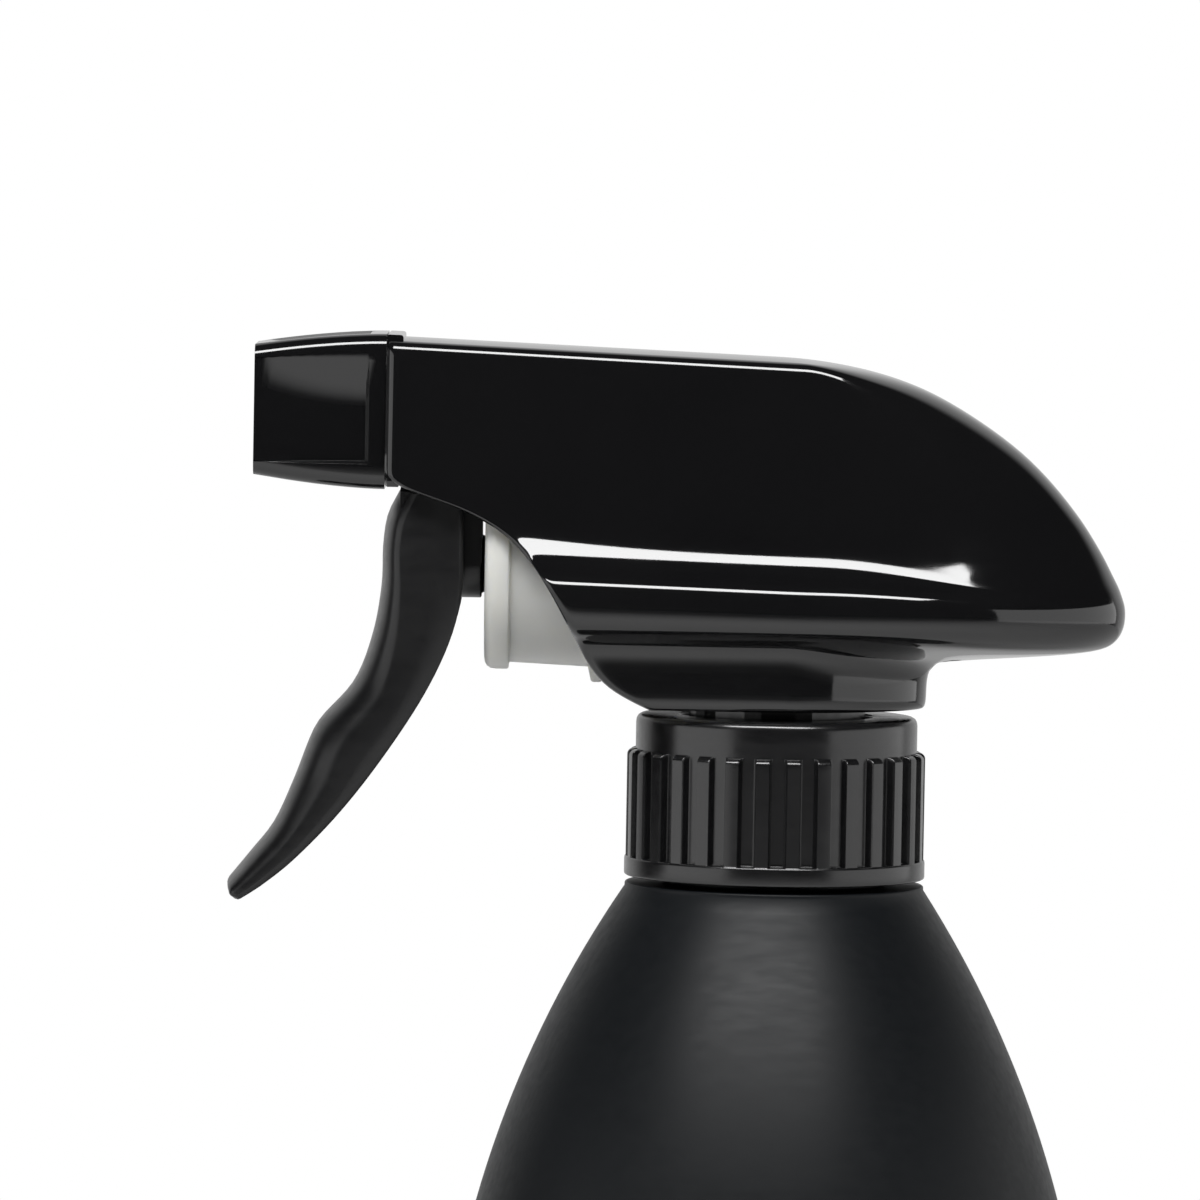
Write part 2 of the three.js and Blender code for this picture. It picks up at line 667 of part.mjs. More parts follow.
function trigger() {
  const front = smooth(triggerFrontLine, 24);
  const rear = [...smooth(triggerRearLine, 10), ...follow([[-35.9, 31.5], [-35.9, 42.6]])];
  const innerFront = smooth(triggerFrontLine, 24, triggerWall).slice(1, -3);
  const grip = slab([...front, ...rear], triggerHalfWidth);
  const channelRear = follow([[-52, -6], [-20, 10], [-20, 46]]);
  const channel = slab([...innerFront, ...channelRear], triggerHalfWidth - triggerWall);
  const armOutline = [
    ...follow([[-42.9, 41.5], [-43, 43.8], [-41, 47.5]]),
    ...arc(pivotX, pivotHeight, trunnionRadius + 1.5, 110, -100, 10),
    ...follow([[-35.9, 44], [-35.9, 41.5]]),
  ];
  const arms = slab(armOutline, armInner + armThickness)
    .subtract(slab([[-60, 30], [0, 30], [0, 70], [-60, 70]], armInner));
  const bridgeOutline = [[-42.9, 40.5], [-43, 43.4], [-37, 43.4], [-37, 41.6], [-40, 41.6], [-41, 40.5]];
  const bridge = slab(follow(bridgeOutline), triggerHalfWidth - 1);
  const stalk = cylinderX(pusherRadius - 1, -44, pusherX, cylinderHeight, 24);
  const bossRadius = pusherRadius + 0.25;
  const bossFront = pusherX - 2.6;
  const bossRear = pusherX + 0.2;
  const boss = cylinderX(bossRadius, bossFront, bossRear, cylinderHeight, 24)
    .add(box([bossFront, -bossRadius, cylinderHeight], [bossRear, bossRadius, cylinderHeight + 6]));
  const rib = slab(follow([[-44.4, 33], [-36.8, 33], [-36.8, 37], [-44.3, 37]]), triggerWall / 2);
  const pusher = ball(pusherRadius, pusherX, cylinderHeight);
  const across = triggerHalfWidth;
  const pivotHoles = cylinderY(trunnionRadius + fitGap, -across, across, pivotX, pivotHeight);
  const shape = union(grip.subtract(channel), arms, bridge, stalk, boss, rib, pusher).subtract(pivotHoles);
  return part('trigger', shape, 'satin');
}

// ---------------------------------------------------------------- nozzle

const orificeFace = nozzleFront + 0.9;
const orificeBack = nozzleFront + 2.2;
const orificeRadius = 3.1;
const orificeNose = 1.9;

function nozzleCap() {
  const corner = 2;
  const half = nozzleRearSize / 2;
  const section = [
    ...arc(half - corner, half - corner, corner, 0, 90, 3),
    ...arc(corner - half, half - corner, corner, 90, 180, 3),
    ...arc(corner - half, corner - half, corner, 180, 270, 3),
    ...arc(half - corner, corner - half, corner, 270, 360, 3),
  ];
  const shape = new THREE.Shape(section.map(([y, z]) => new THREE.Vector2(y, z)));
  const steps = 6;
  const geometry = new THREE.ExtrudeGeometry(shape, { depth: 1, steps, bevelEnabled: false });
  geometry.rotateX(Math.PI / 2);
  geometry.rotateZ(Math.PI / 2);
  const position = geometry.attributes.position;
  for (let i = 0; i < position.count; i++) {
    const toRear = position.getX(i);
    const size = nozzleFrontSize + (nozzleRearSize - nozzleFrontSize) * (1 - (1 - toRear) ** nozzleBulge);
    const scale = size / nozzleRearSize;
    position.setXYZ(i, nozzleFront + (nozzleRear - nozzleFront) * toRear,
      position.getY(i) * scale, position.getZ(i) * scale);
  }
  const block = solid(geometry);
  const panelHalf = 5.5;
  const panelFloor = nozzleSocket + 1.75; // distance of the recessed panels from the axis
  const frame = 1.9; // left standing in front of the panels and behind them
  const panel = box([nozzleFront + frame, -panelHalf, panelFloor], [nozzleRear - frame, panelHalf, half + 1]);
  const panels = Array.from({ length: 4 }, (_, i) => panel.rotate([90 * i, 0, 0]));
  const bores = union(
    cylinderX(barrelRadius + fitGap, nozzleRear - 2, nozzleRear + 1, 0),
    cylinderX(nozzleSocket, orificeBack + 0.1, nozzleRear - 1.4, 0),
    cylinderX(orificeRadius + fitGap, orificeFace - fitGap, orificeBack + 0.6, 0, 24),
    cylinderX(orificeNose + fitGap, nozzleFront - 1, orificeFace + 0.9, 0, 24),
  );
  const cap = block.subtract(union(...panels)).subtract(bores).translate([0, 0, barrelHeight]);
  return part('nozzle_cap', cap, 'gloss');
}

function nozzleOrifice() {
  const body = union(
    cylinderX(orificeRadius, orificeFace, orificeBack, barrelHeight, 24),
    cylinderX(orificeNose, nozzleFront + 0.1, orificeFace + 0.3, barrelHeight, 24),
  );
  const hole = union(
    cylinderX(0.35, nozzleFront - 1, orificeBack + 1, barrelHeight, 12),
    cylinderX(1.2, orificeFace + 0.4, orificeBack + 1, barrelHeight, 16),
  );
  return part('nozzle_orifice', body.subtract(hole), 'white');
}

// ---------------------------------------------------------------- shroud

const roofFront = barrelHeight + barrelRadius + 3.8;
const drawnRoof = [[1.9, 58.95], [13.1, 56.9], [22.7, 52.15], [32.4, 43.55], [37.3, 36.25], [39.5, 30.3]];
const roofLine = follow(drawnRoof).map(([x, z]) => [x, z + barrelRadius - drawnBarrelRadius]);
const [tailTip, tailFoot] = follow([[38.6, 27.4], [36.2, 26]]);
const mouthLine = [
  [0.4 - skirtRadius, skirtBottom],
  ...follow([[-17.3, 20.3], [-20.5, 22.9], [-23.5, 28.2], [-27.6, 35.2], [-32.7, 39.9], [-38.5, 42.6]]),
  [shroudFront, barrelHeight - nozzleRearSize / 2 + 0.425],
];

/** Side outline of the outer skin. */
function shroudSide() {
  return [
    ...smooth(mouthLine, 16),
    [shroudFront, roofFront],
    ...smooth(roofLine, 18),
    tailTip, tailFoot, [skirtRadius, skirtBottom + 5.3], [skirtRadius - 0.2, skirtBottom],
  ];
}

/** Side outline of the hollow: the outer skin moved in by the wall, open below. */
function hollowSide() {
  const inside = skirtRadius - shroudWall;
  const [footX, footHeight] = tailFoot;
  return [
    [shroudFront + shroudWall, 0],
    [shroudFront + shroudWall, roofFront - shroudWall],
    ...smooth(roofLine, 18, -shroudWall),
    [footX, footHeight + shroudWall], [inside, skirtBottom + 5.3 + shroudWall], [inside, 0],
  ];
}

/** Cross-section of the wing: a flare that sweeps out from the upper body to the wing's edge. */
function wingSection(inset) {
  const edge = wingHalfWidth - inset;
  const waist = waistHalfWidth - inset - 0.1;
  const flare = [
    [edge - 0.8, waistHeight - 4 - inset / 2],
    [edge - 3, waistHeight - 2.6 - inset],
    [waist, waistHeight - inset],
  ];
  const side = [
    [edge - 1, waistHeight - 9.6 + inset], [edge, waistHeight - 8.4], [edge, waistHeight - 5.6],
    ...smooth(flare, 6),
  ];
  return [...side, ...side.map(([y, z]) => [-y, z]).reverse()];
}

/** The wing seen from above: straight sides and a round tail. */
function wingPlan(inset) {
  const tailStart = 5;
  const tailLength = 34.8 - inset;
  const half = wingHalfWidth - inset;
  const tail = arc(0, 0, 1, 90, -90, 20).map(([a, b]) => [tailStart + tailLength * a, half * b]);
  return [[-60, -half], [-60, half], ...tail].reverse();
}

/** The neck seen from above: a half circle behind, straight walls in front. */
function neckPlan(inset) {
  const half = skirtRadius - inset;
  return [[-60, -half], ...arc(0, 0, half, -90, 90, 24), [-60, half]];
}

/** Cross-section of the upper body, wider at the waist than at the roof. */
function upperSection(inset) {
  const roof = roofFront + 1.25;
  const roofHalf = roofHalfWidth - inset;
  const waist = waistHalfWidth - inset;
  const side = [[waist, 0], [waist, waistHeight], [roofHalf, roof]];
  return [...side, ...side.map(([y, z]) => [-y, z]).reverse()];
}

function shroudSolid(side, inset) {
  const upper = slab(side, waistHalfWidth + 3).intersect(beam(upperSection(inset), -60, 60));
  const sides = slab(side, wingHalfWidth + 5);
  const wing = beam(wingSection(inset), -60, 60).intersect(plate(wingPlan(inset), 0, 70));
  const neck = plate(neckPlan(inset), 0, waistHeight - 6.8);
  return union(upper, wing.intersect(sides), neck.intersect(sides));
}

function shroud() {
  const outer = shroudSolid(shroudSide(), 0);
  const lipHalf = roofHalfWidth - 2.3;
  const lip = box([shroudFront, -lipHalf, roofFront - 2.5], [shroudFront + 1.7, lipHalf, roofFront + 0.4]);
  const hollow = shroudSolid(hollowSide(), shroudWall);
  const barrelHole = cylinderX(barrelRadius + 1, shroudFront - 1, shroudFront + 3, barrelHeight);
  const saddleHalf = barrelRadius + 2.4;
  const saddleTop = roofFront - shroudWall + 0.15;
  const saddle = (x) => box([x - 0.7, -saddleHalf, barrelHeight], [x + 0.7, saddleHalf, saddleTop])
    .subtract(cylinderX(barrelRadius + 0.5, x - 2, x + 2, barrelHeight));
  const shell = union(outer, lip).subtract(hollow).subtract(barrelHole);
  return part('shroud', union(shell, saddle(-22), saddle(-10)), 'gloss');
}

// ---------------------------------------------------------------- assembly

const sprayHead = new THREE.Group();
sprayHead.position.z = capBase;
sprayHead.add(
  closureCap(),
  neckGasket(),
  tubeRetainer(),
  retainerSeal(),
  dipTube(),
  inletFilter(),
  pumpBody(),
  passagePlug(),
  intakeBall(),
  dischargeBall(),
  dischargeSpring(),
  spinner(),
  nozzleSeal(),
  piston(),
  lipSeal('piston_seal', pressureGroove, 'rear'),
  lipSeal('vent_seal', ventGroove, 'front'),
  returnSpring(),
  trigger(),
  nozzleCap(),
  nozzleOrifice(),
  shroud(),
);

const handMister = new THREE.Group();
handMister.add(bottle(), sprayHead);

export default handMister;
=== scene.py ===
"""Hand mister: the visual model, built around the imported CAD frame.

The scene is in metres. Outlines are written in millimetres, with x from the bottle's axis and z above the
closure cap's lower rim, and they are placed by the frame's own boxes.
"""

import json
import math

import bmesh
import bpy
from mathutils import Matrix, Vector


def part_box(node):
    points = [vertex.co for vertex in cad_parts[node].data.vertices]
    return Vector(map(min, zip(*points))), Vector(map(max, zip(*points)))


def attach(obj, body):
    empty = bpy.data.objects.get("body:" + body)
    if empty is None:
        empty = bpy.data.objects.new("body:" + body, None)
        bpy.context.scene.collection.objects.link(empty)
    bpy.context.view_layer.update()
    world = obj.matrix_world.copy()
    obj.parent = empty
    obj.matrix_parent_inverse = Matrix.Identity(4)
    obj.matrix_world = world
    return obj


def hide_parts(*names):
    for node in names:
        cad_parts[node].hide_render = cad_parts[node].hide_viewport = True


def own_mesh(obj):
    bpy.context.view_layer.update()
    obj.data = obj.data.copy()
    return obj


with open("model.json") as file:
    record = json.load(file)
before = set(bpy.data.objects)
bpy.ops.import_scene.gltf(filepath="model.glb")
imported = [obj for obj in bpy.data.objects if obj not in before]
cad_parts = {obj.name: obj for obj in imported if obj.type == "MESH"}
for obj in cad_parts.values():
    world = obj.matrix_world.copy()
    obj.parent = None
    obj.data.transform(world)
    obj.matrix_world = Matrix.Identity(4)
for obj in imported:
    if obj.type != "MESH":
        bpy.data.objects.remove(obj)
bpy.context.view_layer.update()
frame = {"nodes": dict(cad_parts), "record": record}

MM = 0.001


def box_mm(node):
    """Lowest and highest corners of a CAD node, in millimetres."""
    low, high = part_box(node)
    return low / MM, high / MM


CAP_LOW, CAP_HIGH = box_mm("closure_cap")
SHROUD_LOW, SHROUD_HIGH = box_mm("shroud")
NOZZLE_LOW, NOZZLE_HIGH = box_mm("nozzle_cap")
TRIGGER_HIGH = box_mm("trigger")[1]
PISTON_LOW, PISTON_HIGH = box_mm("piston")
BOTTLE_HIGH = box_mm("bottle")[1]
SPRING_LOW, SPRING_HIGH = box_mm("return_spring")
CAP_BASE = CAP_LOW.z
BARREL_HEIGHT = (NOZZLE_LOW.z + NOZZLE_HIGH.z) / 2 - CAP_BASE
CYLINDER_HEIGHT = (SPRING_LOW.z + SPRING_HIGH.z) / 2 - CAP_BASE


# ---------------------------------------------------------------- curves and outlines


def lerp(a, b, t):
    return a + (b - a) * t


def smoothstep(low, high, value):
    t = min(1.0, max(0.0, (value - low) / (high - low)))
    return t * t * (3 - 2 * t)


def catmull_rom(a, b, c, d, t):
    """A number on its way from b to c, which come after a and before d."""
    square = (2 * a - 5 * b + 4 * c - d) * t * t
    cube = (3 * b - a - 3 * c + d) * t ** 3
    return 0.5 * (2 * b + (c - a) * t + square + cube)


def spline(points, per_span):
    """Points of a Catmull-Rom curve through the given points."""
    before = tuple(2 * a - b for a, b in zip(points[0], points[1]))
    after = tuple(2 * a - b for a, b in zip(points[-1], points[-2]))
    p = [before, *points, after]
    curve = []
    for i in range(1, len(p) - 2):
        for k in range(per_span):
            coordinates = zip(p[i - 1], p[i], p[i + 1], p[i + 2])
            curve.append(tuple(catmull_rom(*values, k / per_span) for values in coordinates))
    return curve + [tuple(points[-1])]


def rounded(points, radius, steps=4, closed=True):
    """An outline with its corners rounded. A point may give its own radius as a third number."""
    result = []
    count = len(points)
    for i, point in enumerate(points):
        here = Vector(point[:2])
        own = point[2] if len(point) > 2 else radius
        if own == 0 or (not closed and i in (0, count - 1)):
            result.append(tuple(here))
            continue
        before = Vector(points[i - 1][:2]) - here
        after = Vector(points[(i + 1) % count][:2]) - here
        reach = min(own, 0.48 * before.length, 0.48 * after.length)
        start = here + before.normalized() * reach
        end = here + after.normalized() * reach
        for k in range(steps + 1):
            t = k / steps
            result.append(tuple(start * (1 - t) ** 2 + here * 2 * t * (1 - t) + end * t * t))
    return result


def even_angles(count):
    """Angles round a full turn, in radians."""
    return [2 * math.pi * k / count for k in range(count)]


def arc(centre, radius, start, end, steps):
    """Points round a centre, from one angle to another, in degrees."""
    return [
        (centre[0] + radius * math.cos(math.radians(lerp(start, end, k / steps))),
         centre[1] + radius * math.sin(math.radians(lerp(start, end, k / steps))))
        for k in range(steps + 1)
    ]


# ---------------------------------------------------------------- meshes

SAME_POINT = 1e-5  # corners of one face that are closer than this are one corner
WELD = 2e-4  # vertices of a shape that are closer than this are joined
BEVEL_ANGLE = 28  # edges that turn by more than this, in degrees, are bevelled


class Shape:
    """Faces given by their corner points, in millimetres, welded into one mesh."""

    def __init__(self):
        self.bm = bmesh.new()

    def face(self, corners):
        verts = []
        for corner in corners:
            corner = Vector(corner)
            if not verts or (corner - verts[-1].co).length > SAME_POINT:
                verts.append(self.bm.verts.new(corner))
        if len(verts) > 2 and (verts[0].co - verts[-1].co).length < SAME_POINT:
            self.bm.verts.remove(verts.pop())
        if len(verts) > 2:
            self.bm.faces.new(verts)

    def grid(self, rows, wrap=False):
        """Quads between rows of points. wrap joins each row's end to its start."""
        for upper, lower in zip(rows, rows[1:]):
            count = len(upper) if wrap else len(upper) - 1
            for i in range(count):
                j = (i + 1) % len(upper)
                self.face([upper[i], upper[j], lower[j], lower[i]])

    def loft(self, rings, closed=False):
        """A closed solid through rings of points, capped at both ends, or joined end to start if closed."""
        self.grid(rings + [rings[0]] if closed else rings, wrap=True)
        if not closed:
            self.face(list(reversed(rings[0])))
            self.face(rings[-1])

    def weld(self):
        bmesh.ops.remove_doubles(self.bm, verts=self.bm.verts, dist=WELD)
        bmesh.ops.dissolve_degenerate(self.bm, edges=self.bm.edges, dist=SAME_POINT)
        bmesh.ops.recalc_face_normals(self.bm, faces=self.bm.faces)

    def piece(self, name, body, material, replaced=(), bevel=0.0, subdivide=0, sharp=None):
        """The welded mesh as a piece of the scene that rides on a body. sharp is an angle in degrees."""
        self.weld()
        mesh = bpy.data.meshes.new(name)
        self.bm.to_mesh(mesh)
        self.bm.free()
        mesh.transform(Matrix.Translation((0, 0, CAP_BASE * MM)) @ Matrix.Scale(MM, 4))
        mesh.polygons.foreach_set("use_smooth", [True] * len(mesh.polygons))
        obj = bpy.data.objects.new(name, mesh)
        bpy.context.scene.collection.objects.link(obj)
        if sharp is not None:
            mesh.set_sharp_from_angle(angle=math.radians(sharp))
        if bevel:
            modifier = obj.modifiers.new("edges", "BEVEL")
            modifier.width = bevel * MM
            modifier.segments = 3
            modifier.limit_method = "ANGLE"
            modifier.angle_limit = math.radians(BEVEL_ANGLE)
            modifier.harden_normals = True
        if subdivide:
            modifier = obj.modifiers.new("smooth", "SUBSURF")
            modifier.levels = subdivide
            modifier.render_levels = subdivide
        obj.data.materials.append(material)
        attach(obj, body)
        if replaced:
            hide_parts(*replaced)
        return obj


def turned(shape, profile, angles, swell=None):
    """Turns (radius, z) pairs round the bottle's axis. swell(radius, z, angle) may change the radius."""
    rings = []
    for radius, z in profile:
        ring = []
        for angle in angles:
            r = swell(radius, z, angle) if swell else radius
            ring.append((r * math.cos(angle), r * math.sin(angle), z))
        rings.append(ring)
    shape.grid(rings, wrap=True)


def turned_along_x(shape, profile, height, segments):
    """Turns (radius, x) pairs round an axis along X at the given height."""
    rings = [
        [(x, radius * math.cos(a), height + radius * math.sin(a)) for a in even_angles(segments)]
        for radius, x in profile
    ]
    shape.grid(rings, wrap=True)


def slab(shape, outline, y_low, y_high):
    """An (x, z) outline as a plate between two Y values."""
    shape.loft([[(x, y, z) for x, z in outline] for y in (y_low, y_high)])


# ---------------------------------------------------------------- materials


def node_tree(name):
    material = bpy.data.materials.new(name)
    material.use_nodes = True
    tree = material.node_tree
    shader = tree.nodes["Principled BSDF"]
    return material, tree, shader


def noise(tree, scale, detail=3.0, stretch=None):
    """A noise texture in object coordinates, with an optional stretch along an axis."""
    coordinates = tree.nodes.new("ShaderNodeTexCoord")
    texture = tree.nodes.new("ShaderNodeTexNoise")
    texture.inputs["Scale"].default_value = scale
    texture.inputs["Detail"].default_value = detail
    source = coordinates.outputs["Object"]
    if stretch:
        mapping = tree.nodes.new("ShaderNodeMapping")
        mapping.inputs["Scale"].default_value = stretch
        tree.links.new(source, mapping.inputs["Vector"])
        source = mapping.outputs["Vector"]
    tree.links.new(source, texture.inputs["Vector"])
    return texture.outputs["Fac"]


def ramp(tree, source, low, high, to_low, to_high):
    """A number that runs from to_low to to_high as source runs from low to high."""
    node = tree.nodes.new("ShaderNodeMapRange")
    node.inputs["From Min"].default_value = low
    node.inputs["From Max"].default_value = high
    node.inputs["To Min"].default_value = to_low
    node.inputs["To Max"].default_value = to_high
    tree.links.new(source, node.inputs["Value"])
    return node.outputs["Result"]


def tinted(tree, source, dark, light):
    """A colour between dark and light, chosen by source."""
    colour_a, colour_b, colour_result = 6, 7, 2  # sockets by number, because their names aren't unique
    node = tree.nodes.new("ShaderNodeMix")
    node.data_type = "RGBA"
    node.inputs[colour_a].default_value = (*dark, 1)
    node.inputs[colour_b].default_value = (*light, 1)
    tree.links.new(source, node.inputs["Factor"])
    return node.outputs[colour_result]


def bumps(tree, shader, layers):
    """Stacked bump nodes: each layer is (height source, strength, distance in millimetres)."""
    normal = None
    for source, strength, distance in layers:
        node = tree.nodes.new("ShaderNodeBump")
        node.inputs["Strength"].default_value = strength
        node.inputs["Distance"].default_value = distance * MM
        tree.links.new(source, node.inputs["Height"])
        if normal:
            tree.links.new(normal, node.inputs["Normal"])
        normal = node.outputs["Normal"]
    tree.links.new(normal, shader.inputs["Normal"])


def moulded_plastic(name, dark, light, roughness, grain, grain_depth, wave_depth=0.0, specular=0.5):
    """Moulded plastic: faint colour flow, uneven gloss with handling marks, and a fine surface grain."""
    material, tree, shader = node_tree(name)
    flow = noise(tree, 45, 2)
    marks = noise(tree, 900, 4, stretch=(0.25, 1, 1))
    fine = noise(tree, grain, 2)
    tree.links.new(tinted(tree, flow, dark, light), shader.inputs["Base Color"])
    tree.links.new(ramp(tree, marks, 0.3, 0.75, *roughness), shader.inputs["Roughness"])
    layers = [(fine, 0.5, grain_depth)]
    if wave_depth:
        layers.append((noise(tree, 70, 1), 1.0, wave_depth))
    bumps(tree, shader, layers)
    shader.inputs["Specular IOR Level"].default_value = specular
    return material


def milky_plastic(name, dark, light, scatter_mm, roughness, clear=0.0):
    """Polypropylene that light goes some way into. clear is its transmission weight."""
    material, tree, shader = node_tree(name)
    flow = noise(tree, 120, 2)
    marks = noise(tree, 700, 3)
    tree.links.new(tinted(tree, flow, dark, light), shader.inputs["Base Color"])
    tree.links.new(ramp(tree, marks, 0.3, 0.7, *roughness), shader.inputs["Roughness"])
    shader.inputs["Subsurface Weight"].default_value = 0.7
    shader.inputs["Transmission Weight"].default_value = clear
    shader.inputs["Subsurface Radius"].default_value = (1.0, 0.95, 0.8)
    shader.inputs["Subsurface Scale"].default_value = scatter_mm * MM
    bumps(tree, shader, [(noise(tree, 2500, 2), 0.3, 0.01)])
    return material


def metal(name, dark, light, roughness):
    """Drawn steel, with fine marks across Z."""
    material, tree, shader = node_tree(name)
    flow = noise(tree, 300, 2)
    marks = noise(tree, 1500, 3, stretch=(1, 1, 6))
    tree.links.new(tinted(tree, flow, dark, light), shader.inputs["Base Color"])
    tree.links.new(ramp(tree, marks, 0.3, 0.7, *roughness), shader.inputs["Roughness"])
    bumps(tree, shader, [(noise(tree, 3000, 2), 0.2, 0.005)])
    shader.inputs["Metallic"].default_value = 1.0
    return material


# darkest and lightest colour of each kind
BLACK = ((0.0025, 0.0025, 0.0028), (0.004, 0.004, 0.0042))
BOTTLE_BLACK = ((0.0025, 0.003, 0.0036), (0.0035, 0.0042, 0.005))
RUBBER_BLACK = ((0.015, 0.015, 0.016), (0.028, 0.028, 0.03))
MILKY = ((0.6, 0.6, 0.57), (0.7, 0.7, 0.67))
OFF_WHITE = ((0.74, 0.74, 0.72), (0.82, 0.82, 0.8))
STEEL_GREY = ((0.5, 0.51, 0.52), (0.66, 0.67, 0.68))

GLOSS = moulded_plastic("gloss_black", *BLACK, (0.05, 0.1), 2500, 0.0015, wave_depth=0.003)
SATIN = moulded_plastic("satin_black", *BLACK, (0.2, 0.27), 2200, 0.003)
LEVER = moulded_plastic("satin_black_lever", *BLACK, (0.28, 0.36), 1800, 0.004, specular=0.32)
MATTE = moulded_plastic("bottle_matte_black", *BOTTLE_BLACK, (0.4, 0.48), 1500, 0.012, specular=0.13)
NATURAL = milky_plastic("natural_plastic", *MILKY, 3.0, (0.3, 0.42), clear=0.45)
WHITE = milky_plastic("white_plastic", *OFF_WHITE, 1.0, (0.35, 0.5))
RUBBER = moulded_plastic("black_rubber", *RUBBER_BLACK, (0.6, 0.8), 1500, 0.02)
STEEL = metal("steel", *STEEL_GREY, (0.15, 0.3))

MATERIAL_OF_SLOT = {
    "bottle_matte_black": MATTE,
    "gloss_black": GLOSS,
    "satin_black": SATIN,
    "natural_plastic": NATURAL,
    "white_plastic": WHITE,
    "black_rubber": RUBBER,
    "steel": STEEL,
}


def finish_cad_nodes():
    """Gives every CAD node the procedural material of its slot."""
    for subpart in frame["record"]["subparts"]:
        mesh = frame["nodes"][subpart["node"]].data
        material = MATERIAL_OF_SLOT[subpart["material_slot"]]
        for index in range(len(mesh.materials)):
            mesh.materials[index] = material
        mesh.set_sharp_from_angle(angle=math.radians(32))


# ---------------------------------------------------------------- shroud

WALL = 1.4
TAIL_START = 2.0  # the shell runs straight from the mouth to this x, and rounds the tail behind it
TAIL_FULLNESS = 2.4  # exponent of the blunt ellipse that the tail follows above the flare; 2 is a plain one
ROOF_EDGE = 9.3
ROOF_SLOPE = 0.0376
FLARE_SLOPE = 0.027
TAPER_START, TAPER_END = -5, -46
TAPER_SHARE = 0.07
WING_HALF = SHROUD_HIGH.y
TAIL_END = SHROUD_HIGH.x
SHROUD_FRONT = SHROUD_LOW.x

# The shell's skin, in rows from the roof's edge to the skirt. Each row is (y, z) beside the pump, and then
# (x, z) at the tail.
SKIN = [
    ((9.3, 58.7), (2.0, 58.95)),
    ((9.95, 58.6), (6.7, 58.35)),
    ((10.45, 58.3), (10.5, 57.6)),
    ((10.78, 57.7), (14.2, 56.5)),
    ((10.9, 56.9), (17.9, 54.95)),
    ((11.25, 54.3), (22.7, 52.15)),
    ((11.75, 50.6), (27.6, 48.65)),
    ((12.25, 47.2), (31.2, 45.0)),
    ((12.65, 44.6), (33.6, 42.0)),
    ((12.85, 43.2), (34.7, 40.5)),
    ((13.05, 42.0), (35.6, 39.1)),
    ((13.25, 40.8), (36.4, 37.8)),
    ((13.45, 39.3), (37.15, 36.5)),
    ((13.6, 38.1), (37.95, 34.9)),
    ((13.82, 37.25), (38.65, 33.6)),
    ((14.12, 36.6), (38.92, 32.9)),
    ((14.78, 35.35), (39.1, 32.4)),
    ((16.2, 34.5), (39.2, 32.1)),
    ((17.5, 33.95), (39.3, 31.8)),
    ((18.25, 33.15), (39.4, 31.4)),
    ((18.5, 31.7), (39.5, 30.7)),
    ((18.5, 29.8), (39.45, 29.4)),
    ((18.2, 28.7), (39.05, 28.2)),
    ((17.4, 28.0), (38.3, 27.2)),
    ((16.2, 27.6), (36.8, 26.3)),
    ((15.2, 27.1), (30.0, 25.55)),
    ((14.75, 26.3), (20.0, 24.9)),
    ((14.62, 25.2), (16.2, 24.5)),
    ((14.6, 23.6), (14.8, 23.4)),
    ((14.6, 21.5), (14.6, 21.4)),
    ((14.6, 19.4), (14.6, 19.4)),
]
# how many rows are the roof's edge, the flare's first and last row, and the first row of the underside
ROOF_ROWS = 5
FLARE_TOP = 14
FLARE_END = 24
UNDERSIDE = 25

# the shell's lower front edge, from the nozzle to the skirt, as (x, z)
MOUTH = [
    (-44.7, 44.0), (-38.5, 42.6), (-32.7, 39.9), (-29.3, 37.1), (-26.4, 33.4),
    (-23.5, 28.2), (-21.1, 23.8), (-18.1, 20.9), (-14.2, 19.3),
]
MOUTH_LINE = spline(MOUTH, 12)
STRAIGHT_STEPS = 16
TAIL_STEPS = 12
EDGE_ROUND = 1.0  # the outer skin rolls inwards over this length at the mouth
EDGE_DEPTH = 0.8  # how far it rolls in, as a share of that length
EDGE_STATIONS = (0.0, 0.12, 0.35, 0.65)


def mouth_x(z):
    """Where the shell's lower front edge is at a height."""
    if z >= MOUTH_LINE[0][1]:
        return SHROUD_FRONT
    for (x0, z0), (x1, z1) in zip(MOUTH_LINE, MOUTH_LINE[1:]):
        if z1 <= z <= z0:
            return lerp(x0, x1, (z0 - z) / max(1e-6, z0 - z1))
    return MOUTH_LINE[-1][0]


def offset_outline(points, distance):
    """An open outline moved sideways, then evened out so that tight corners don't fold."""
    moved = []
    for i, point in enumerate(points):
        ahead = Vector(points[min(i + 1, len(points) - 1)])
        behind = Vector(points[max(i - 1, 0)])
        along = (ahead - behind).normalized()
        moved.append((point[0] + distance * along.y, point[1] - distance * along.x))
    for _ in range(3):
        for i in range(1, len(moved) - 1):
            middle = tuple((a + b) / 2 for a, b in zip(moved[i - 1], moved[i + 1]))
            moved[i] = tuple((a + b) / 2 for a, b in zip(moved[i], middle))
    return moved


def skin_rows(inset):
    """The skin's side and tail outlines, moved inwards by inset."""
    side = [row[0] for row in SKIN]
    tail = [row[1] for row in SKIN]
    if inset:
        bottom = side[-1][1]
        side = offset_outline(side, inset)
        tail = offset_outline(tail, inset)
        side[0] = (ROOF_EDGE - inset * 0.4, SKIN[0][0][1] - inset)
        tail[0] = (TAIL_START, SKIN[0][1][1] - inset)
        side[-1] = (side[-1][0], bottom)
        tail[-1] = (tail[-1][0], bottom)
    return side, tail


